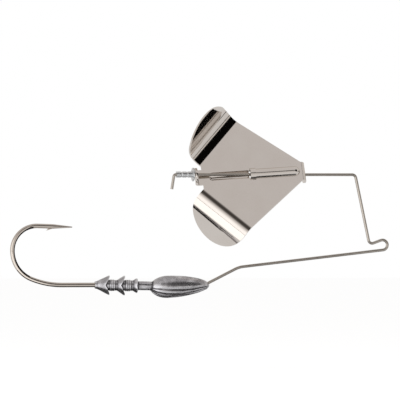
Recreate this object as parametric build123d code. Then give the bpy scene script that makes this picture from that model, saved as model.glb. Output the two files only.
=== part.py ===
from build123d import *
import os
from math import atan2, cos, degrees, hypot, radians, sin, tan

# Buzzbait lure: one bent wire, one hook, one lead casting, a spinning delta blade and its rivet.
# Origin at the centre of the line tie.  +X is the way the lure is pulled, +Z is up, and the
# wire and the hook lie in the plane y = 0.

# --- driving dimensions, mm and degrees ---------------------------------------------------
WIRE_DIAMETER = 1.04
TIE_RADIUS = 1.8            # centre line of the open bend that the line is tied to
THROAT_FALL = 20.0          # how steeply the wire drops from the line tie to the upright
THROAT_RADIUS = 1.35
UPRIGHT_FOOT_X = -4.8       # where the upright would cross z = 0
UPRIGHT_LEAN = 11.9
SHAFT_HEIGHT = 25.3         # line tie to blade shaft
SHAFT_BEND_RADIUS = 1.4
SHAFT_LENGTH = 66.7         # upright's corner to the stop bend's corner
STOP_BEND_RADIUS = 0.8
STOP_LEAN = 9.0
STOP_LENGTH = 5.3
LOWER_ARM_RISE = 6.5
ELBOW_X = -53.0
ELBOW_RADIUS = 9.0

HOOK_DIAMETER = 1.65
SHANK_DROP = 14.1           # line tie down to the hook shank
EYE_X = -73.0
EYE_RADIUS = 1.75           # centre line of the hook eye's ring
SHANK_END_X = -117.8
HEEL_RADIUS = 29.8
HEEL_SWEEP = 22.0
BEND_RADIUS = 10.9
TOP_RADIUS = 8.8
POINT_DROOP = 2.0
POINT_LENGTH = 12.6
POINT_TAPER = 7.0
POINT_TIP_DIAMETER = 0.4
BARB_ROOT = 6.2             # back from the point
BARB_TIP = 9.4
BARB_STAND = 1.55           # barb tip out from the point's centre line
BARB_THICKNESS = 0.6
BARB_HEEL = 1.1             # the barb's root ends this far ahead of its tip
BARB_DEPTH = 0.55           # its root, as a share of the hook's radius from the centre line

HEAD_NOSE_X = -63.9
HEAD_FRONT_LENGTH = 15.6    # nose to the thickest place
HEAD_REAR_LENGTH = 6.2
HEAD_RADIUS = 4.05
HEAD_TILT = 2.2
HEAD_BELLY = 0.8            # head axis under the shank, at the thickest place
WIRE_EXIT_ABOVE_SHANK = 0.8
TAG_BEND_RADIUS = 1.0
TAG_OVERHANG = 0.55         # wire end past the hook eye's flank
WIRE_BESIDE_EYE = 0.02      # clear gap where the wire lies along the eye
WIRE_PAST_EYE = 0.3         # how far ahead of the eye it turns forward
WIRE_IN_HEAD = 2.0          # straight run inside the nose
NECK_RADIUS = 1.65
COLLAR_TILT = 1.2
COLLAR_TIP_X = -105.9
COLLAR_TIP_RADIUS = 1.3
COLLAR_CORE_RADIUS = 1.92
COLLAR_RING_RADIUS = 0.28
COLLAR_RING_PITCH = 0.62
COLLAR_RINGS = 3
BARB_TIERS = (              # x of a tier's start and of its barbs' tips, tip radius, notch depth
    (-105.4, -100.5, 3.5, 1.9),
    (-98.7, -94.9, 3.55, 1.8),
    (-92.8, -90.4, 2.65, 0.4),
)
COLLAR_LIP = 0.35           # thickness of a barb at its tip
RINGS_FORWARD = 0.9         # rings sit this far ahead of the middle between two tiers
RING_SINK = 0.06            # ring's centre line under the core's surface
TIER_ROOT_SHARE = 0.68      # radius of a tier's narrow end, as a share of the core's
NOTCH_OVERCUT = 0.1

BLADE_THICKNESS = 0.8
BLADE_LENGTH = 37.1         # rear edge of the plate to its front ear
BLADE_NOSE_HALF = 3.55
BLADE_TAIL_HALF = 4.5
BLADE_TIP_U = 15.4          # widest place, ahead of the rear edge
BLADE_TIP_HALF = 20.8
WING_BEND_RADIUS = 6.5
WING_BEND = 77.0
WING_FLAT = 8.4
WING_SIDE = 3.6
REAR_EAR_WIDTH = 5.8
EAR_BEND_RADIUS = 1.0
EAR_DROP = 1.8              # ear hole from the middle of the plate
REAR_TAB = 1.5              # the narrow neck between the plate and its rear ear
RIB_RADIUS = 1.35           # inside of the raised half-round rib in the plate's front half
RIB_LENGTH = 16.2
TROUGH_RADIUS = 1.6         # inside of the sunk half-round trough in its rear half
TROUGH_LENGTH = 13.6
BRIDGE_LENGTH = 2.0         # the swollen strap where the rib begins
BRIDGE_SWELL = 0.35
FORMED_WALL = 0.6           # the sheet is drawn thinner where it is formed
SHEET_OVERLAP = 1.0         # how far wings and ears run into the plate
BLADE_SPIN = 25.5           # the plate's turn about the shaft as it lies
BLADE_SKEW = 1.7            # the ear holes lie a little either side of the plate's long axis
RUNNING_CLEARANCE = 0.08    # radial, ear holes and rivet on the shaft

RIVET_LENGTH = 6.4
RIVET_DIAMETER = 2.2
RIVET_FLANGE_DIAMETER = 4.9
RIVET_FLANGE = 0.5
RIVET_LOBES = 3
RIVET_WAIST = 0.18          # depth of the pinches between its lobes
PINCH_RADIUS = 0.35
FLANGE_EDGE = 0.35          # rounding of the flange, as a share of its thickness
RIVET_STOP_GAP = 0.1
BLADE_RIVET_GAP = 0.45      # ear centre plane's rear face to the flange

# --- values worked out from them ----------------------------------------------------------
WIRE_R = WIRE_DIAMETER / 2
HOOK_R = HOOK_DIAMETER / 2
SHANK_Z = -SHANK_DROP
STOP_TURN = 90 - STOP_LEAN
UPRIGHT_TOP_X = UPRIGHT_FOOT_X - SHAFT_HEIGHT * tan(radians(UPRIGHT_LEAN))
STOP_X = UPRIGHT_TOP_X - SHAFT_LENGTH
SHAFT_REAR_X = STOP_X + STOP_BEND_RADIUS * tan(radians(STOP_TURN / 2))
RIVET_REAR_X = SHAFT_REAR_X + RIVET_STOP_GAP
RIVET_FRONT_X = RIVET_REAR_X + RIVET_LENGTH
BORE_R = WIRE_R + RUNNING_CLEARANCE
EAR_REAR_U = -REAR_TAB - EAR_BEND_RADIUS
EAR_SPAN = BLADE_LENGTH - EAR_REAR_U
BLADE_PITCH = degrees(atan2(2 * EAR_DROP, EAR_SPAN))
CROSSING_U = (BLADE_LENGTH + EAR_REAR_U) / 2
CROSSING_X = RIVET_FRONT_X + BLADE_RIVET_GAP + BLADE_THICKNESS / 2 + EAR_SPAN / 2


def in_plane(x, z):
    """A point of the lure's own plane."""
    return Vector(x, 0, z)


def tube(path, diameter):
    """A round bar along a path."""
    start = Plane(origin=path @ 0, z_dir=path % 0)
    return sweep(start * Circle(diameter / 2), path=path)


def head_end_points():
    """The wire's hidden end: a tag through the hook eye, then forward to the nose."""
    beside = HOOK_R + WIRE_R + WIRE_BESIDE_EYE
    tag_end = Vector(EYE_X, HOOK_R + TAG_OVERHANG, SHANK_Z)
    tag_turn = Vector(EYE_X, -beside, SHANK_Z)
    clear_of_eye = Vector(EYE_X + EYE_RADIUS + HOOK_R + WIRE_PAST_EYE, -beside, SHANK_Z)
    nose = in_plane(HEAD_NOSE_X, SHANK_Z + WIRE_EXIT_ABOVE_SHANK)
    elbow = in_plane(ELBOW_X, elbow_height())
    back = (nose - elbow).normalized()
    inside = nose + back * WIRE_IN_HEAD
    return [tag_end, tag_turn, clear_of_eye, inside, elbow]


def elbow_height():
    """Height of the lower arm at the elbow, on its straight run to the line tie."""
    rise = radians(LOWER_ARM_RISE)
    start_x = TIE_RADIUS * sin(rise)
    start_z = -TIE_RADIUS * cos(rise)
    return start_z - (start_x - ELBOW_X) * tan(rise)


def wire_frame():
    """Head end, lower arm, line tie, upright, shaft and stop, in one bent wire."""
    rise = radians(LOWER_ARM_RISE)
    fall = radians(THROAT_FALL)
    lean = tan(radians(UPRIGHT_LEAN))
    tie_start = in_plane(TIE_RADIUS * sin(rise), -TIE_RADIUS * cos(rise))
    tie_front = in_plane(TIE_RADIUS, 0)
    tie_end = in_plane(-TIE_RADIUS * sin(fall), TIE_RADIUS * cos(fall))
    run = (tie_end.X - UPRIGHT_FOOT_X + tie_end.Z * lean) / (cos(fall) + sin(fall) * lean)
    throat = in_plane(tie_end.X - run * cos(fall), tie_end.Z - run * sin(fall))
    shaft_front = in_plane(UPRIGHT_TOP_X, SHAFT_HEIGHT)
    shaft_rear = in_plane(STOP_X, SHAFT_HEIGHT)
    stop_lean = radians(STOP_LEAN)
    stop_end = shaft_rear + in_plane(-sin(stop_lean), -cos(stop_lean)) * STOP_LENGTH
    lower = FilletPolyline(
        *head_end_points(),
        tie_start,
        radius=[TAG_BEND_RADIUS, TAG_BEND_RADIUS, TAG_BEND_RADIUS, ELBOW_RADIUS],
    )
    tie = ThreePointArc(tie_start, tie_front, tie_end)
    upper = FilletPolyline(
        tie_end,
        throat,
        shaft_front,
        shaft_rear,
        stop_end,
        radius=[THROAT_RADIUS, SHAFT_BEND_RADIUS, STOP_BEND_RADIUS],
    )
    path = Wire([*lower.edges(), *tie.edges(), *upper.edges()])
    return tube(path, WIRE_DIAMETER)


def hook_barb(tip, along, inward):
    """The sliver raised from the point's inner side, leaning back from the tip."""
    sunk = inward * HOOK_R * BARB_DEPTH
    root = tip - along * BARB_ROOT + sunk
    barb = tip - along * BARB_TIP + inward * BARB_STAND
    heel = tip - along * (BARB_TIP - BARB_HEEL) + sunk
    outline = Polyline(root, barb, heel, close=True)
    return extrude(make_face(outline), amount=BARB_THICKNESS / 2, both=True)


def hook():
    """Eye ring, straight shank, round bend, and the barbed point."""
    shank = Line(in_plane(EYE_X - EYE_RADIUS, SHANK_Z), in_plane(SHANK_END_X, SHANK_Z))
    heel = (HEEL_RADIUS, HEEL_SWEEP)
    rear = (BEND_RADIUS, 90 - HEEL_SWEEP)
    top = (TOP_RADIUS, 90 + POINT_DROOP)
    edges = [*shank.edges()]
    at = in_plane(SHANK_END_X, SHANK_Z)
    heading = 180.0
    for radius, sweep_angle in (heel, rear, top):
        edges.append(bend_edge(at, heading, radius, sweep_angle))
        at = edges[-1] @ 1
        heading -= sweep_angle
    along = in_plane(cos(radians(heading)), sin(radians(heading)))
    inward = in_plane(sin(radians(heading)), -cos(radians(heading)))
    taper_start = at + along * (POINT_LENGTH - POINT_TAPER)
    edges.append(Edge.make_line(at, taper_start))
    bar = tube(Wire(edges), HOOK_DIAMETER)
    tip = at + along * POINT_LENGTH
    middle = (taper_start + tip) * 0.5
    point = Plane(origin=middle, z_dir=along) * Cone(HOOK_R, POINT_TIP_DIAMETER / 2, POINT_TAPER)
    ring = Pos(EYE_X, 0, SHANK_Z) * Rot(90, 0, 0) * Torus(EYE_RADIUS, HOOK_R)
    return bar + point + ring + hook_barb(tip, along, inward)


def bend_edge(start, heading, radius, turn):
    """A tangent arc in the lure's plane that turns clockwise seen with +X right and +Z up."""
    to_centre = in_plane(sin(radians(heading)), -cos(radians(heading)))
    centre = start + to_centre * radius

    def on_arc(angle):
        out = radians(heading - angle)
        return centre - in_plane(sin(out), -cos(out)) * radius

    return Edge.make_three_point_arc(start, on_arc(turn / 2), on_arc(turn))


def egg():
    """The head's body: a front and a rear half ellipse turned about one axis."""
    face = Plane.XZ * make_face(
        Curve()
        + EllipticalCenterArc((0, 0), HEAD_FRONT_LENGTH, HEAD_RADIUS, start_angle=0, arc_size=90)
        + EllipticalCenterArc((0, 0), HEAD_REAR_LENGTH, HEAD_RADIUS, start_angle=90, arc_size=90)
        + Line((-HEAD_REAR_LENGTH, 0), (HEAD_FRONT_LENGTH, 0))
    )
    body = revolve(face, axis=Axis.X)
    widest_x = HEAD_NOSE_X - HEAD_FRONT_LENGTH
    return Pos(widest_x, 0, SHANK_Z - HEAD_BELLY) * Rot(0, -HEAD_TILT, 0) * body


def collar_tier(start_x, tip_x, tip_radius, notch):
    """A cone that opens towards the head, notched at both sides into an upper and a lower barb."""
    start = start_x - COLLAR_TIP_X
    tip = tip_x - COLLAR_TIP_X
    outline = Polyline(
        (start, 0),
        (start, COLLAR_CORE_RADIUS * TIER_ROOT_SHARE),
        (tip - COLLAR_LIP, tip_radius),
        (tip, tip_radius),
        (tip, 0),
        close=True,
    )
    cone = revolve(Plane.XZ * make_face(outline), axis=Axis.X)
    past = tip + NOTCH_OVERCUT
    opening = tip_radius + NOTCH_OVERCUT
    wedge = Polyline((tip - notch, 0), (past, opening), (past, -opening), close=True)
    return cone - extrude(Plane.XZ * make_face(wedge), amount=2 * tip_radius, both=True)


def collar():
    """Bait keeper: a slim core with three barbed tiers and rings between them, then the neck."""
    length = widest_rear_x() - COLLAR_TIP_X
    tiers_end = BARB_TIERS[-1][1] - COLLAR_TIP_X
    tip_length = BARB_TIERS[0][1] - BARB_TIERS[0][3] - COLLAR_TIP_X
    outline = Polyline(
        (0, 0),
        (0, COLLAR_TIP_RADIUS),
        (tip_length, COLLAR_CORE_RADIUS),
        (tiers_end, COLLAR_CORE_RADIUS),
        (tiers_end, NECK_RADIUS),
        (length, NECK_RADIUS),
        (length, 0),
        close=True,
    )
    body = revolve(Plane.XZ * make_face(outline), axis=Axis.X)
    for tier in BARB_TIERS:
        body += collar_tier(*tier)
    for nearer, further in zip(BARB_TIERS, BARB_TIERS[1:]):
        middle = (nearer[1] - nearer[3] + further[0]) / 2 + RINGS_FORWARD - COLLAR_TIP_X
        for ring in range(COLLAR_RINGS):
            x = middle + (ring - (COLLAR_RINGS - 1) / 2) * COLLAR_RING_PITCH
            ring_part = Torus(COLLAR_CORE_RADIUS - RING_SINK, COLLAR_RING_RADIUS)
            body += Pos(x, 0, 0) * Rot(0, 90, 0) * ring_part
    return Pos(COLLAR_TIP_X, 0, SHANK_Z) * Rot(0, COLLAR_TILT, 0) * body


def widest_rear_x():
    """Where the neck ends, well inside the rear of the head."""
    return HEAD_NOSE_X - HEAD_FRONT_LENGTH - HEAD_REAR_LENGTH / 2


def lead_head(wire, hook_part):
    """One casting, poured round the hook shank, its eye and the wire's end."""
    return egg() + collar() - hook_part - wire


def plate_outline():
    """The flat delta plate, in its own u, v coordinates."""
    front = BLADE_LENGTH - EAR_BEND_RADIUS
    outline = Polyline(
        (0, -BLADE_TAIL_HALF),
        (0, BLADE_TAIL_HALF),
        (BLADE_TIP_U, BLADE_TIP_HALF),
        (front, BLADE_NOSE_HALF),
        (front, -BLADE_NOSE_HALF),
        (BLADE_TIP_U, -BLADE_TIP_HALF),
        close=True,
    )
    face = make_face(outline)
    return extrude(Plane.XZ * face, amount=BLADE_THICKNESS / 2, both=True)


def wing():
    """One wing: the sheet rolled over towards -y along the plate's slanting rear edge."""
    half = BLADE_THICKNESS / 2
    bend = radians(WING_BEND)
    run = hypot(BLADE_TIP_U, BLADE_TIP_HALF - BLADE_TAIL_HALF)
    du = BLADE_TIP_U / run
    dv = (BLADE_TIP_HALF - BLADE_TAIL_HALF) / run
    corner = Vector(0, 0, BLADE_TAIL_HALF)
    section = Plane(origin=corner, x_dir=(-dv, 0, du), z_dir=(du, 0, dv))

    def on_bend(radius, angle):
        return (radius * sin(angle), WING_BEND_RADIUS - radius * cos(angle))

    def past_bend(point):
        return (point[0] + WING_FLAT * cos(bend), point[1] + WING_FLAT * sin(bend))

    inner = WING_BEND_RADIUS - half
    outer = WING_BEND_RADIUS + half
    inner_end = past_bend(on_bend(inner, bend))
    outer_end = past_bend(on_bend(outer, bend))
    outline = (
        Curve()
        + Line((-SHEET_OVERLAP, half), (0, half))
        + ThreePointArc((0, half), on_bend(inner, bend / 2), on_bend(inner, bend))
        + Line(on_bend(inner, bend), inner_end)
        + Line(inner_end, outer_end)
        + Line(outer_end, on_bend(outer, bend))
        + ThreePointArc(on_bend(outer, bend), on_bend(outer, bend / 2), (0, -half))
        + Line((0, -half), (-SHEET_OVERLAP, -half))
        + Line((-SHEET_OVERLAP, -half), (-SHEET_OVERLAP, half))
    )
    strip = extrude(section * make_face(outline), amount=run)
    middle_end = past_bend(on_bend(WING_BEND_RADIUS, bend))
    depth = middle_end[0] * cos(bend / 2) + middle_end[1] * sin(bend / 2)
    return strip & wing_outline(corner, du, dv, run, depth)


def wing_outline(corner, du, dv, run, depth):
    """The wing's rounded outline, seen square to the middle of its bend."""
    half_bend = radians(WING_BEND / 2)
    outward = Vector(-dv, 0, du) * cos(half_bend) + Vector(0, -1, 0) * sin(half_bend)
    fold = Vector(du, 0, dv)
    seen = Plane(origin=corner, x_dir=fold, z_dir=fold.cross(outward))
    lobe = depth - WING_SIDE
    outline = (
        Curve()
        + Line((0, -2), (0, WING_SIDE))
        + EllipticalCenterArc((run / 2, WING_SIDE), run / 2, lobe, start_angle=0, arc_size=180)
        + Line((run, WING_SIDE), (run, -2))
        + Line((run, -2), (0, -2))
    )
    return extrude(seen * make_face(outline), amount=4 * depth, both=True)


def ear(width, neck):
    """An ear at the front edge: the sheet bent towards +y, round-ended about the shaft hole."""
    half = BLADE_THICKNESS / 2
    flat_end = BLADE_LENGTH - EAR_BEND_RADIUS
    neck_start = flat_end - neck
    tip = EAR_DROP + width / 2
    inner = EAR_BEND_RADIUS - half
    outer = EAR_BEND_RADIUS + half
    slant = cos(radians(45))
    outer_middle = (flat_end + outer * slant, EAR_BEND_RADIUS - outer * slant)
    inner_middle = (flat_end + inner * slant, EAR_BEND_RADIUS - inner * slant)
    outline = (
        Curve()
        + Line((neck_start, -half), (flat_end, -half))
        + ThreePointArc((flat_end, -half), outer_middle, (flat_end + outer, EAR_BEND_RADIUS))
        + Line((flat_end + outer, EAR_BEND_RADIUS), (flat_end + outer, tip))
        + Line((flat_end + outer, tip), (flat_end + inner, tip))
        + Line((flat_end + inner, tip), (flat_end + inner, EAR_BEND_RADIUS))
        + ThreePointArc((flat_end + inner, EAR_BEND_RADIUS), inner_middle, (flat_end, half))
        + Line((flat_end, half), (neck_start, half))
        + Line((neck_start, half), (neck_start, -half))
    )
    strip = extrude(make_face(outline), amount=width / 2, both=True)
    end = Pos(0, EAR_DROP, 0) * Rot(0, 90, 0) * Cylinder(width / 2, 4 * BLADE_LENGTH)
    root = Pos(0, EAR_DROP - width, 0) * Box(4 * BLADE_LENGTH, 2 * width, width)
    return strip & (end + root)


def rear_ear():
    """The rear ear: turned end for end from the front one, so that it is bent the other way."""
    end_for_end = Pos(EAR_REAR_U, 0, 0) * Rot(0, 0, 180) * Pos(-BLADE_LENGTH, 0, 0)
    return end_for_end * ear(REAR_EAR_WIDTH, REAR_TAB + SHEET_OVERLAP)


def ribbed(sheet, start, length, radius, side, round_end):
    """Raises a half-round rib along the sheet: side is -1 towards -y and 1 towards +y."""
    outer = radius + FORMED_WALL
    middle = Pos(start + length / 2, 0, 0) * Rot(0, 90, 0)
    full = middle * Cylinder(outer, length)
    hollow = middle * Cylinder(radius, length)
    end_x = start + length if round_end > 0 else start
    full += Pos(end_x, 0, 0) * Sphere(outer)
    hollow += Pos(end_x, 0, 0) * Sphere(radius)
    raised = Pos(start + length / 2, side * outer, 0) * Box(3 * length, 2 * outer, 4 * outer)
    return (sheet - hollow) + ((full - hollow) & raised)


def formed_middle(sheet):
    """The rib over the shaft in front, the trough under it behind, and the bridge between."""
    sheet = ribbed(sheet, CROSSING_U, RIB_LENGTH, RIB_RADIUS, -1, 1)
    sheet = ribbed(sheet, CROSSING_U - TROUGH_LENGTH, TROUGH_LENGTH, TROUGH_RADIUS, 1, -1)
    mouth = Pos(CROSSING_U, 0, 0) * Rot(0, 90, 0)
    wall = RIB_RADIUS + FORMED_WALL
    bridge = Cylinder(wall + BRIDGE_SWELL, BRIDGE_LENGTH) - Cylinder(wall - 0.05, 2 * BRIDGE_LENGTH)
    raised = Pos(CROSSING_U, -2 * wall, 0) * Box(4 * wall, 4 * wall, 4 * wall)
    sheet += Pos(BRIDGE_LENGTH / 2, 0, 0) * mouth * bridge & raised
    return sheet - mouth * Cylinder(RIB_RADIUS, RIB_LENGTH)


def blade():
    """A stamped delta blade: two opposed wings, two drilled ears and a formed middle."""
    upper = wing()
    lower = Rot(180, 0, 0) * upper
    sheet = plate_outline() + upper + lower
    sheet = formed_middle(sheet)
    sheet += ear(2 * BLADE_NOSE_HALF, SHEET_OVERLAP)
    sheet += rear_ear()
    squared = Rot(0, 0, -BLADE_PITCH) * Pos(-CROSSING_U, 0, 0) * sheet
    skewed = Rot(0, -BLADE_SKEW, 0) * squared
    bore = Rot(0, 90, 0) * Cylinder(BORE_R, 2 * BLADE_LENGTH)
    turned = Rot(-BLADE_SPIN, 0, 0) * (skewed - bore)
    return Pos(CROSSING_X, 0, SHAFT_HEIGHT) * turned


def rivet():
    """A hollow rivet on the shaft: pinched tube behind, flange in front against the blade."""
    radius = RIVET_DIAMETER / 2
    tube_length = RIVET_LENGTH - RIVET_FLANGE
    body = Pos(tube_length / 2, 0, 0) * Rot(0, 90, 0) * Cylinder(radius, tube_length)
    pitch = tube_length / RIVET_LOBES
    for gap in range(1, RIVET_LOBES):
        pinch = Torus(radius + PINCH_RADIUS - RIVET_WAIST, PINCH_RADIUS)
        body -= Pos(gap * pitch, 0, 0) * Rot(0, 90, 0) * pinch
    flange = Cylinder(RIVET_FLANGE_DIAMETER / 2, RIVET_FLANGE)
    flange = fillet(flange.edges().filter_by(GeomType.CIRCLE), RIVET_FLANGE * FLANGE_EDGE)
    body += Pos(tube_length + RIVET_FLANGE / 2, 0, 0) * Rot(0, 90, 0) * flange
    body -= Rot(0, 90, 0) * Cylinder(BORE_R, 4 * RIVET_LENGTH)
    return Pos(RIVET_REAR_X, 0, SHAFT_HEIGHT) * body


def main():
    os.makedirs("parts", exist_ok=True)
    wire = wire_frame()
    hook_part = hook()
    pieces = {
        "wire_frame": wire,
        "hook": hook_part,
        "lead_head": lead_head(wire, hook_part),
        "blade": blade(),
        "rivet": rivet(),
    }
    for name, piece in pieces.items():
        export_step(piece, f"parts/{name}.step")


main()
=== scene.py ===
import math

import bmesh
import bpy
import numpy as np
from mathutils import Matrix, Vector


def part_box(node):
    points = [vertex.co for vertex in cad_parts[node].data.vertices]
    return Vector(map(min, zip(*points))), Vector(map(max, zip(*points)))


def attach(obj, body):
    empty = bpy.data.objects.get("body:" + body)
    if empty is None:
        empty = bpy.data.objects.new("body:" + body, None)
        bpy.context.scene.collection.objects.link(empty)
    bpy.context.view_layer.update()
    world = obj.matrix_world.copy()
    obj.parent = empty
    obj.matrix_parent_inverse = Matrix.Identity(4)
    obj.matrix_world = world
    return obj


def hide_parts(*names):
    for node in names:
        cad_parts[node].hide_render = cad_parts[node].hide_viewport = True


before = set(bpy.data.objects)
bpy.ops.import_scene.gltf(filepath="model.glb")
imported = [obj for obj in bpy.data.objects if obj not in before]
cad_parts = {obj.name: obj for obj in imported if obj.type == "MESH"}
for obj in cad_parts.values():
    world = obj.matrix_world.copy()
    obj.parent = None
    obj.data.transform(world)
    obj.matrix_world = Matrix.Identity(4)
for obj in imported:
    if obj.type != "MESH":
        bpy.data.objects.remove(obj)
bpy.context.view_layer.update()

MM = 0.001
JOIN_DISTANCE = 0.002 * MM          # corners of a CAD mesh this close are one

# --- picture ------------------------------------------------------------------------------
VIEW_TURN = math.radians(-12.7)     # the camera stands a little towards the hook's end
PICTURE_WIDTH = 144 * MM
PICTURE_MIDDLE = Vector((-64.1, 14.4, 16.2)) * MM
CAMERA_DISTANCE = 2.6
SENSOR = 36.0                       # mm, across the camera's film

# --- lead casting -------------------------------------------------------------------------
HEAD_VOXEL = 0.13 * MM
HEAD_LENGTH = 21.6 * MM             # nose to the neck
HEAD_AXIS_HEIGHT = 4.2 * MM         # head's axis over the casting's lowest point
HEAD_AXIS_PIVOT = 0.3               # share of the head's length where that height is measured
HEAD_AXIS_RISE = 0.75 * MM          # how much the axis climbs to the nose
HOOK_CHANNEL = 1.6 * MM             # no grooves inside this radius
FLUTE_ANGLES = (20, 43, 66, 89)     # grooves in each side of the head, degrees under its middle
FLUTE_HALF_WIDTH = math.radians(8)
FLUTE_WANDER = math.radians(5)
FLUTE_DEPTH = 0.34 * MM
FLUTE_SHALLOWEST = 0.7              # shares of that depth between which each groove lies
FLUTE_DEEPEST = 1.2
FLUTE_FADE = 0.6                    # how quickly the grooves run out at the head's ends
CASTING_GRAIN = 0.035 * MM
GRAIN_SIZE = 0.9 * MM
GRAIN_WAVES = 24
GRAIN_CONTRAST = 2.2
MOULD_SEED = 7
# relief mask of the lead: real polish on ridges, plus painted highlight on ridges and painted
# shade in grooves
RELIEF_REACH = 14                     # smoothing steps of about 0.1 mm
RELIEF_HEIGHT = 0.05 * MM             # a ridge this high is fully polished and gets the full painted highlight

# --- blade --------------------------------------------------------------------------------
EDGE_ROUND = 0.09 * MM              # tumbled edge of the stamped sheet
FLAT_ANGLE = math.radians(0.6)      # faces that meet flatter than this are one face
SHEARED_ANGLE = math.radians(50)

# --- studio -------------------------------------------------------------------------------
WHITE = (1, 1, 1, 1)
FLOOR_REACH = 3.0
FLOOR_DROP = 26 * MM                # floor under the lead head
FLOOR_PAPER = (0.92, 0.92, 0.92, 1)
FLOOR_WHITENESS = 0.85
FLOOR_TO_CAMERA = 1.045
FLOOR_IN_MIRROR = 0.80
PAPER_ROUGHNESS = 0.9
CARD_BLACK = "#100E0D"
LAMP_AIM = Vector((-0.06, 0.0, 0.01))
STUDIO_WALL = "#DEDAD6"
# direction, clear and faded radius in degrees, colour, strength
WORLD_CARDS = (
    ((0.05, -0.55, 0.83), 25, 60, "#DCD9D8", 1.0),      # soft board over the lure, in the plate
    ((0.97, 0.10, 0.0), 10, 17, "#2A2624", 1.0),        # dark line up the upright wire
    ((-0.85, -0.5, -0.2), 30, 50, "#FFFFFF", 1.5),      # bright board, in the lower wing
    ((-0.19, -0.79, 0.58), 1, 17, "#4A4643", 1.0),      # soft dark line along the lower fold
    ((0.42, -0.79, 0.45), 21, 22.5, "#080706", 1.0),    # black flag, in the upper wing
    ((0.70, -0.69, 0.19), 5, 6, "#080706", 1.0),
    ((0.86, -0.50, 0.05), 4, 5, "#080706", 1.0),
)
# name, two corners in mm, glow
MIRROR_CARDS = (
    ("dark_strip", (-105, -8, -43), (250, 19, -43), 0.0),
    ("dark_patch", (-60, -72, -43), (12, -34, -43), 0.0),
    ("bright_board", (-900, -800, -43), (-118, -20, -43), 1.6),
    ("dark_lath", (-150, -6, -24), (-90, 13, -24), 0.0),
    ("dark_block", (-128, -6, -9), (-128, 20, 6), 0.0),
)


# --- small helpers ------------------------------------------------------------------------
def linear(hex_colour):
    """An sRGB hex colour as linear RGBA."""
    values = [int(hex_colour[i:i + 2], 16) / 255 for i in (1, 3, 5)]
    curve = [v / 12.92 if v <= 0.04045 else ((v + 0.055) / 1.055) ** 2.4 for v in values]
    return (*curve, 1.0)


def add_node(tree, kind, links=None, inputs=None, **settings):
    """Adds a node: settings are its properties, inputs its values, links its input sockets."""
    node = tree.nodes.new(kind)
    for name, value in settings.items():
        setattr(node, name, value)
    for name, value in (inputs or {}).items():
        node.inputs[name].default_value = value
    for name, output in (links or {}).items():
        tree.links.new(output, node.inputs[name])
    return node


def new_material(name):
    """An empty node material with its shader and output joined."""
    material = bpy.data.materials.new(name)
    material.use_nodes = True
    tree = material.node_tree
    tree.nodes.clear()
    shader = add_node(tree, "ShaderNodeBsdfPrincipled")
    add_node(tree, "ShaderNodeOutputMaterial", {"Surface": shader.outputs[0]})
    return material, tree, shader


def noise(tree, size_mm, detail):
    """Noise in the piece's own space, with features of a real size."""
    place = add_node(tree, "ShaderNodeTexCoord").outputs["Object"]
    values = {"Scale": 1 / (size_mm * MM), "Detail": detail}
    return add_node(tree, "ShaderNodeTexNoise", {"Vector": place}, values).outputs["Fac"]


def map_range(tree, value, to_low, to_high, from_low=0.0, from_high=1.0):
    """A value carried from one range to another."""
    values = {"From Min": from_low, "From Max": from_high, "To Min": to_low, "To Max": to_high}
    return add_node(tree, "ShaderNodeMapRange", {"Value": value}, values).outputs["Result"]


def mix_colours(tree, factor, first, second):
    """Two hex colours mixed by a factor."""
    values = {"A": linear(first), "B": linear(second)}
    node = add_node(tree, "ShaderNodeMix", {"Factor": factor}, values, data_type="RGBA")
    return node.outputs["Result"]


def maths(tree, operation, first, second):
    """One step of arithmetic: second is a socket or a plain number."""
    node = add_node(tree, "ShaderNodeMath", {0: first}, operation=operation)
    if isinstance(second, float):
        node.inputs[1].default_value = second
    else:
        tree.links.new(second, node.inputs[1])
    return node.outputs[0]


def bump(tree, shader, height, strength, distance):
    """Gives the shader a bumped normal."""
    values = {"Strength": strength, "Distance": distance}
    node = add_node(tree, "ShaderNodeBump", {"Height": height}, values)
    tree.links.new(node.outputs["Normal"], shader.inputs["Normal"])


def merged_copy(node, name):
    """A CAD node's mesh as a new object, with its loose triangles joined up."""
    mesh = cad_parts[node].data.copy()
    piece = bpy.data.objects.new(name, mesh)
    bpy.context.scene.collection.objects.link(piece)
    work = bmesh.new()
    work.from_mesh(mesh)
    bmesh.ops.remove_doubles(work, verts=work.verts, dist=JOIN_DISTANCE)
    work.to_mesh(mesh)
    work.free()
    mesh.materials.clear()
    return piece


def apply_modifiers(piece):
    """Turns the piece's evaluated shape into its plain mesh."""
    graph = bpy.context.evaluated_depsgraph_get()
    shaped = bpy.data.meshes.new_from_object(piece.evaluated_get(graph))
    piece.modifiers.clear()
    piece.data = shaped
    return piece


def finish_piece(piece, material, body, node):
    """Gives a detailed piece its finish and its CAD body, and hides the CAD node that it
    replaces.
    """
    piece.data.materials.clear()
    piece.data.materials.append(material)
    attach(piece, body)
    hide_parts(node)


def vertex_values(mesh, name):
    """One vector of each vertex, as an array of rows."""
    values = np.empty(len(mesh.vertices) * 3)
    mesh.vertices.foreach_get(name, values)
    return values.reshape(-1, 3)


# --- materials ----------------------------------------------------------------------------
def nickel_plate():
    """Bright nickel over stamped sheet: a mirror, with faint waves and hairline scuffs."""
    material, tree, shader = new_material("mirror_nickel_plate")
    tint = mix_colours(tree, noise(tree, 7.14, 3.0), "#D2CAC3", "#DAD4CE")
    tree.links.new(tint, shader.inputs["Base Color"])
    scuff = noise(tree, 1.11, 4.0)
    tree.links.new(map_range(tree, scuff, 0.045, 0.10), shader.inputs["Roughness"])
    # sheet is never dead flat: waves about 9 mm across, a few microns high
    bump(tree, shader, noise(tree, 9.09, 1.0), 0.06, 0.3 * MM)
    shader.inputs["Metallic"].default_value = 1.0
    return material


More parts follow.
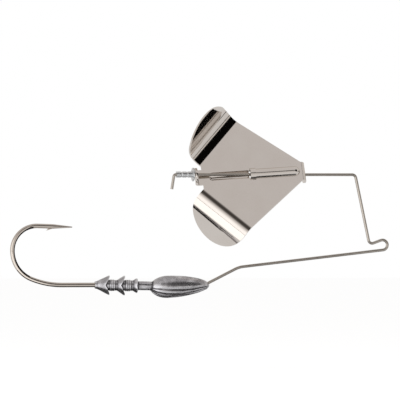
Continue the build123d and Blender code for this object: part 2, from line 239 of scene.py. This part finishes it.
def drawn_metal(name, pale, dark, smoothest, roughest, grain_mm):
    """Drawn or ground metal: grain of one width, with soft variation in tone and polish."""
    material, tree, shader = new_material(name)
    grain = noise(tree, grain_mm, 5.0)
    tint = mix_colours(tree, noise(tree, 6.25, 3.0), pale, dark)
    tree.links.new(tint, shader.inputs["Base Color"])
    tree.links.new(map_range(tree, grain, smoothest, roughest), shader.inputs["Roughness"])
    bump(tree, shader, grain, 0.04, 0.02 * MM)
    shader.inputs["Metallic"].default_value = 1.0
    return material


def cast_lead():
    """Bare gravity-cast lead: dull blue-grey skin, finely pitted; ridges smoother from handling
    wear and painted lighter as a painted highlight, grooves painted darker as painted shade.
    """
    material, tree, shader = new_material("bare_cast_lead")
    skin = noise(tree, 2.381, 6.0)
    wear_and_painted_light = add_node(tree, "ShaderNodeAttribute", attribute_name="wear_and_painted_light").outputs["Fac"]
    blend = maths(tree, "ADD", skin, wear_and_painted_light)
    # colour from the relief mask: painted shade in the grooves, painted highlight on the
    # ridges; the skin noise adds random tone
    tone = add_node(tree, "ShaderNodeValToRGB", {"Fac": maths(tree, "MULTIPLY", blend, 0.5)})
    tone.color_ramp.elements.new(0.68)
    groove, face, ridge = tone.color_ramp.elements
    groove.position = 0.31
    face.position = 0.50
    ridge.position = 0.68
    groove.color = linear("#4C4A4D")
    face.color = linear("#959396")
    ridge.color = linear("#C9C8CB")
    tree.links.new(tone.outputs["Color"], shader.inputs["Base Color"])
    polish = map_range(tree, blend, 0.42, 0.16, 0.7, 1.4)
    tree.links.new(polish, shader.inputs["Roughness"])
    bump(tree, shader, noise(tree, 0.3846, 4.0), 0.35, 0.05 * MM)
    shader.inputs["Metallic"].default_value = 0.9
    return material


# --- pieces -------------------------------------------------------------------------------
def formed_blade(material):
    """The stamped blade with its sheared edges tumbled round."""
    piece = merged_copy("blade", "delta_blade")
    work = bmesh.new()
    work.from_mesh(piece.data)
    bmesh.ops.dissolve_limit(work, angle_limit=FLAT_ANGLE, verts=work.verts, edges=work.edges)
    work.to_mesh(piece.data)
    work.free()
    for face in piece.data.polygons:
        face.use_smooth = True
    bevel = piece.modifiers.new("tumbled", "BEVEL")
    bevel.width = EDGE_ROUND
    bevel.segments = 2
    bevel.limit_method = "ANGLE"
    bevel.angle_limit = SHEARED_ANGLE
    bevel.harden_normals = True
    bevel.use_clamp_overlap = True
    weighted = piece.modifiers.new("flats", "WEIGHTED_NORMAL")
    weighted.keep_sharp = True
    weighted.weight = 100
    apply_modifiers(piece)
    finish_piece(piece, material, "blade", "blade")


def store_relief_mask(mesh):
    """Stores how far each vertex stands out of its surroundings: 0 in grooves, 1 on ridges; the
    lead's finish uses it for real polish and for painted highlight and painted shade.
    """
    count = len(mesh.vertices)
    points = vertex_values(mesh, "co")
    pairs = np.empty(len(mesh.edges) * 2, dtype=np.int64)
    mesh.edges.foreach_get("vertices", pairs)
    one, two = pairs.reshape(-1, 2).T
    links = np.bincount(one, minlength=count) + np.bincount(two, minlength=count)

    def smoothed(values):
        total = np.bincount(one, values[two], count) + np.bincount(two, values[one], count)
        return total / links

    smooth = points
    for step in range(RELIEF_REACH):
        smooth = np.stack([smoothed(smooth[:, axis]) for axis in range(3)], axis=1)
    height = ((points - smooth) * vertex_values(mesh, "normal")).sum(axis=1)
    height = smoothed(height) / RELIEF_HEIGHT
    wear_and_painted_light = mesh.attributes.new("wear_and_painted_light", "FLOAT", "POINT")
    wear_and_painted_light.data.foreach_set("value", np.clip(0.5 + 0.5 * height, 0, 1))


def flute_depths(points, rng):
    """Depth of the head's grooves at each point: they wander along its lower half."""
    low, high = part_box("lead_head")
    along = (points[:, 0] - (high.x - HEAD_LENGTH)) / HEAD_LENGTH
    axis_z = low.z + HEAD_AXIS_HEIGHT + (along - HEAD_AXIS_PIVOT) * HEAD_AXIS_RISE
    angle = np.abs(np.arctan2(points[:, 1], points[:, 2] - axis_z))
    elevation = math.pi / 2 - angle
    fade = np.clip(np.sin(np.pi * np.clip(along, 0, 1)), 0, 1) ** FLUTE_FADE
    groove = np.zeros(len(points))
    for middle in FLUTE_ANGLES:
        wander = FLUTE_WANDER * np.sin(2 * math.pi * (along + rng.uniform()))
        off = (elevation + math.radians(middle) + wander) / FLUTE_HALF_WIDTH
        groove += rng.uniform(FLUTE_SHALLOWEST, FLUTE_DEEPEST) * np.exp(-off ** 2)
    outside = np.hypot(points[:, 1], points[:, 2] - axis_z) > HOOK_CHANNEL
    return FLUTE_DEPTH * groove * fade * outside * (along > 0)


def grain_depths(points, rng):
    """Depth of the skin that a worn mould leaves, as a sum of random waves."""
    waves = rng.normal(size=(GRAIN_WAVES, 3)) / GRAIN_SIZE
    phases = rng.uniform(0, 2 * np.pi, GRAIN_WAVES)
    grain = np.sin(points @ waves.T + phases).mean(axis=1)
    return CASTING_GRAIN * (1 + GRAIN_CONTRAST * grain)


def fluted_head(material):
    """The lead casting: the head's grooves and its rough skin, cut into one closed mesh."""
    piece = merged_copy("lead_head", "cast_head")
    remesh = piece.modifiers.new("skin", "REMESH")
    remesh.mode = "VOXEL"
    remesh.voxel_size = HEAD_VOXEL
    remesh.use_smooth_shade = True
    apply_modifiers(piece)
    mesh = piece.data
    points = vertex_values(mesh, "co")
    rng = np.random.default_rng(MOULD_SEED)
    sink = flute_depths(points, rng)
    sink += grain_depths(points, rng)
    points -= vertex_values(mesh, "normal") * sink[:, None]
    mesh.vertices.foreach_set("co", points.ravel())
    mesh.update()
    # relief mask for the lead's polish, its painted highlight and its painted shade
    store_relief_mask(mesh)
    finish_piece(piece, material, "lure_frame", "lead_head")


def paint_node(node, material):
    """A CAD node that keeps its shape gets its real finish."""
    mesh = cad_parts[node].data
    mesh.materials.clear()
    mesh.materials.append(material)


# --- setting ------------------------------------------------------------------------------
def world_card(tree, under, direction, inner, outer, colour, strength):
    """Puts a soft-edged round card in the surroundings: its angles are from its middle."""
    way = add_node(tree, "ShaderNodeTexCoord").outputs["Generated"]
    dot = add_node(tree, "ShaderNodeVectorMath", {0: way}, operation="DOT_PRODUCT")
    dot.inputs[1].default_value = Vector(direction).normalized()
    rim = {
        "From Min": math.cos(math.radians(outer)),
        "From Max": math.cos(math.radians(inner)),
    }
    edge = add_node(tree, "ShaderNodeMapRange", {"Value": dot.outputs["Value"]}, rim)
    edge.interpolation_type = "SMOOTHSTEP"
    mix = add_node(tree, "ShaderNodeMix", {"Factor": edge.outputs["Result"]}, data_type="RGBA")
    tree.links.new(under, mix.inputs["A"])
    mix.inputs["B"].default_value = [strength * c for c in linear(colour)]
    return mix.outputs["Result"]


def surroundings():
    """A pale studio with dark flags and one bright board, plain white to the camera."""
    world = bpy.data.worlds.new("studio")
    bpy.context.scene.world = world
    world.use_nodes = True
    tree = world.node_tree
    tree.nodes.clear()
    wall = add_node(tree, "ShaderNodeRGB")
    wall.outputs[0].default_value = linear(STUDIO_WALL)
    look = wall.outputs[0]
    for card in WORLD_CARDS:
        look = world_card(tree, look, *card)
    ray = add_node(tree, "ShaderNodeLightPath")
    studio = add_node(tree, "ShaderNodeBackground", {"Color": look})
    plain = add_node(tree, "ShaderNodeBackground", inputs={"Color": WHITE})
    mix = add_node(tree, "ShaderNodeMixShader", {0: ray.outputs["Is Camera Ray"]})
    tree.links.new(studio.outputs[0], mix.inputs[1])
    tree.links.new(plain.outputs[0], mix.inputs[2])
    add_node(tree, "ShaderNodeOutputWorld", {"Surface": mix.outputs[0]})


def staged_quad(name, corners, material):
    """A four-cornered sheet that belongs to the studio."""
    mesh = bpy.data.meshes.new(name)
    mesh.from_pydata(corners, [], [(0, 1, 2, 3)])
    mesh.materials.append(material)
    sheet = bpy.data.objects.new(name, mesh)
    bpy.context.scene.collection.objects.link(sheet)
    return sheet


def floor():
    """A wide pale floor a little below the lure, which keeps its soft shadow."""
    material, tree, shader = new_material("pale_paper_floor")
    shader.inputs["Base Color"].default_value = FLOOR_PAPER
    shader.inputs["Roughness"].default_value = PAPER_ROUGHNESS
    ray = add_node(tree, "ShaderNodeLightPath").outputs
    mirrored = maths(tree, "MAXIMUM", ray["Is Camera Ray"], ray["Is Glossy Ray"])
    seen = maths(tree, "MAXIMUM", mirrored, ray["Is Transmission Ray"])
    share = maths(tree, "MULTIPLY", seen, FLOOR_WHITENESS)
    glow = map_range(tree, ray["Is Camera Ray"], FLOOR_IN_MIRROR, FLOOR_TO_CAMERA)
    white = add_node(tree, "ShaderNodeEmission", {"Strength": glow})
    mix = add_node(tree, "ShaderNodeMixShader", {0: share})
    tree.links.new(shader.outputs[0], mix.inputs[1])
    tree.links.new(white.outputs[0], mix.inputs[2])
    tree.links.new(mix.outputs[0], tree.nodes["Material Output"].inputs["Surface"])
    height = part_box("lead_head")[0].z - FLOOR_DROP
    turns = ((-1, -1), (1, -1), (1, 1), (-1, 1))
    corners = [(x * FLOOR_REACH, y * FLOOR_REACH, height) for x, y in turns]
    staged_quad("floor", corners, material)


def mirror_card(name, low, high, glow):
    """A flat card between two corners in mm, seen only in the metal, where it draws lines."""
    material, tree, shader = new_material(name + "_paper")
    shader.inputs["Base Color"].default_value = linear(CARD_BLACK)
    shader.inputs["Roughness"].default_value = PAPER_ROUGHNESS
    shader.inputs["Emission Color"].default_value = WHITE
    shader.inputs["Emission Strength"].default_value = glow
    if low[0] == high[0]:
        corners = [low, (low[0], high[1], low[2]), high, (low[0], low[1], high[2])]
    else:
        corners = [low, (high[0], low[1], low[2]), high, (low[0], high[1], low[2])]
    card = staged_quad(name, [Vector(corner) * MM for corner in corners], material)
    card.visible_camera = False
    card.visible_diffuse = False
    card.visible_shadow = False
    card.visible_transmission = False


def placed(place, back):
    """The matrix of a lamp or camera at a place, with its back turned along a direction."""
    turn = back.to_track_quat("Z", "Y").to_matrix().to_4x4()
    return Matrix.Translation(place) @ turn


def lamp(name, place, size, power):
    """A square soft lamp that looks at the lure."""
    data = bpy.data.lights.new(name, "AREA")
    data.size = size
    data.energy = power
    fitting = bpy.data.objects.new(name, data)
    fitting.matrix_world = placed(place, Vector(place) - LAMP_AIM)
    fitting.visible_glossy = False
    bpy.context.scene.collection.objects.link(fitting)


def camera():
    """Level, square to the lure but for a small turn, with a long lens."""
    data = bpy.data.cameras.new("camera")
    data.sensor_width = SENSOR
    data.lens = SENSOR * CAMERA_DISTANCE / PICTURE_WIDTH
    data.clip_end = 20
    back = Vector((math.sin(VIEW_TURN), -math.cos(VIEW_TURN), 0))
    view = bpy.data.objects.new("camera", data)
    view.matrix_world = placed(PICTURE_MIDDLE + back * CAMERA_DISTANCE, back)
    bpy.context.scene.collection.objects.link(view)
    bpy.context.scene.camera = view


bpy.context.scene.view_settings.view_transform = "Standard"
camera()
surroundings()
floor()
for card in MIRROR_CARDS:
    mirror_card(*card)
lamp("key", (-0.3, -0.5, 0.7), 0.5, 4.0)

spring_wire = drawn_metal("stainless_spring_wire", "#BDB6AE", "#A29B93", 0.10, 0.13, 0.12)
hook_steel = drawn_metal("nickel_plated_hook_steel", "#CCC3BA", "#B8AFA6", 0.06, 0.10, 0.10)
aluminium = drawn_metal("bright_aluminium_rivet", "#DCDDDD", "#C4C6C8", 0.18, 0.36, 0.15)
formed_blade(nickel_plate())
fluted_head(cast_lead())
paint_node("wire_frame", spring_wire)
paint_node("hook", hook_steel)
paint_node("rivet", aluminium)
